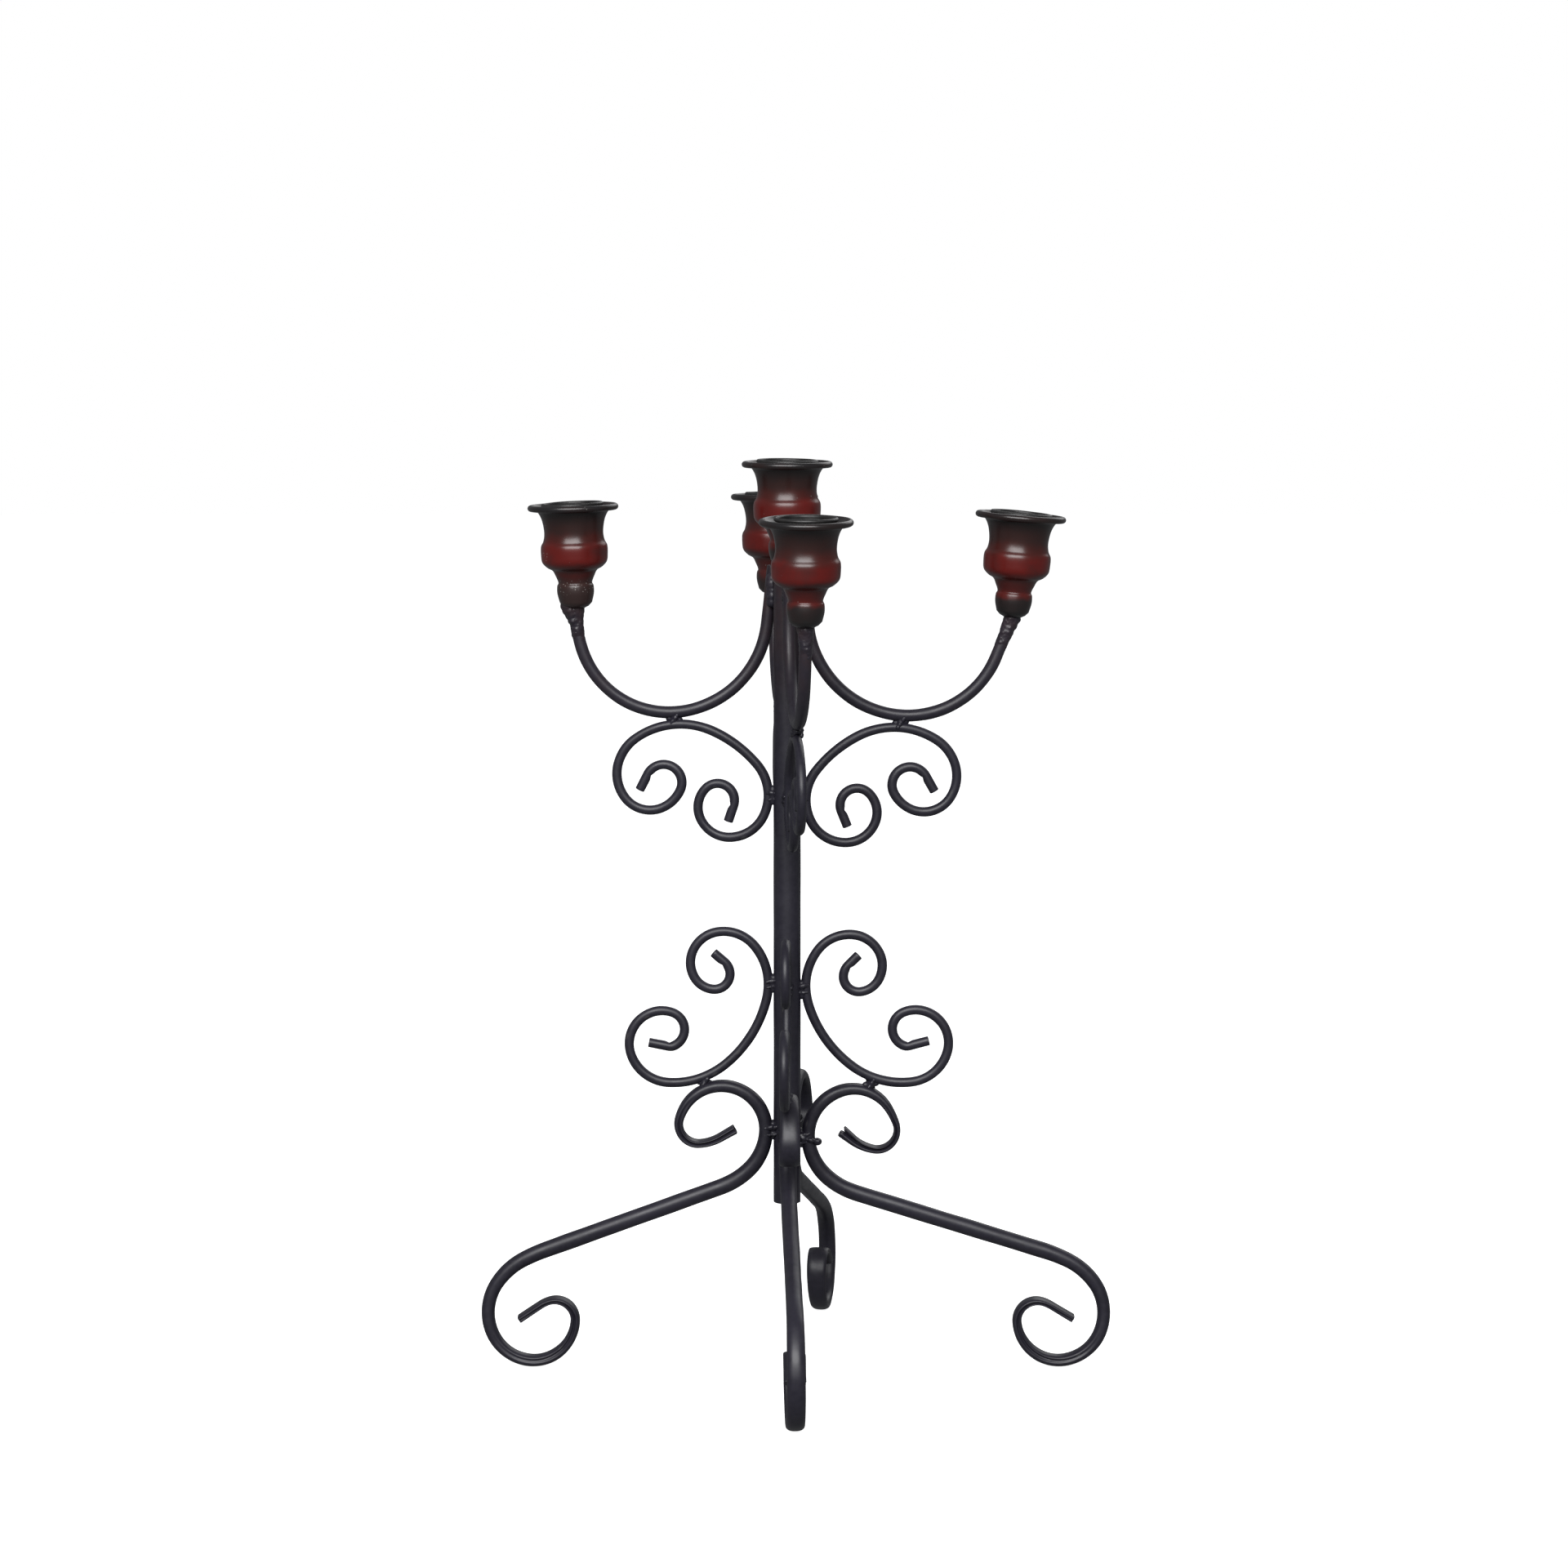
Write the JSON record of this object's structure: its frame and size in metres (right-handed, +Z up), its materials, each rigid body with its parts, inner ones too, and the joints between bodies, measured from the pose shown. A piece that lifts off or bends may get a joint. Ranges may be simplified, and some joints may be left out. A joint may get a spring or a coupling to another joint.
{
  "type": "candelabrum",
  "caption": "Welded iron table candelabrum: tube post, curved arms with candle cups, C-scrolls and curled legs.",
  "frame": {"origin": "on the floor, midway between the four feet; the post stands 3.6 mm to its left", "axes": "+Z up, +X towards the right-hand foot, -Y towards the front foot"},
  "size_m": [0.2635, 0.2624, 0.3802],
  "materials": {
    "black_iron": "satin black paint",
    "red_black_cup": "satin deep red fading to brown black at the neck and the base",
    "black_liner": "satin black paint",
    "weld_metal": "lumpy weld under satin black paint"
  },
  "bodies": {
    "root": {"post": "black_iron", "arm_left": "black_iron", "upper_scroll_left": "black_iron", "lower_scroll_left": "black_iron", "leg_left": "black_iron", "arm_weld_left": "weld_metal", "arm_scroll_weld_left": "weld_metal", "upper_weld_left": "weld_metal", "lower_weld_left": "weld_metal", "scroll_leg_weld_left": "weld_metal", "leg_weld_left": "weld_metal", "arm_right": "black_iron", "upper_scroll_right": "black_iron", "lower_scroll_right": "black_iron", "leg_right": "black_iron", "arm_weld_right": "weld_metal", "arm_scroll_weld_right": "weld_metal", "upper_weld_right": "weld_metal", "lower_weld_right": "weld_metal", "scroll_leg_weld_right": "weld_metal", "leg_weld_right": "weld_metal", "arm_front": "black_iron", "upper_scroll_front": "black_iron", "lower_scroll_front": "black_iron", "leg_front": "black_iron", "arm_weld_front": "weld_metal", "arm_scroll_weld_front": "weld_metal", "upper_weld_front": "weld_metal", "lower_weld_front": "weld_metal", "scroll_leg_weld_front": "weld_metal", "leg_weld_front": "weld_metal", "arm_back": "black_iron", "upper_scroll_back": "black_iron", "lower_scroll_back": "black_iron", "leg_back": "black_iron", "arm_weld_back": "weld_metal", "arm_scroll_weld_back": "weld_metal", "upper_weld_back": "weld_metal", "lower_weld_back": "weld_metal", "scroll_leg_weld_back": "weld_metal", "leg_weld_back": "weld_metal", "cup_top": "red_black_cup", "liner_top": "black_liner", "cup_weld_top": "weld_metal", "cup_left": "red_black_cup", "liner_left": "black_liner", "cup_weld_left": "weld_metal", "cup_right": "red_black_cup", "liner_right": "black_liner", "cup_weld_right": "weld_metal", "cup_front": "red_black_cup", "liner_front": "black_liner", "cup_weld_front": "weld_metal", "cup_back": "red_black_cup", "liner_back": "black_liner", "cup_weld_back": "weld_metal"}
  },
  "joints": []
}
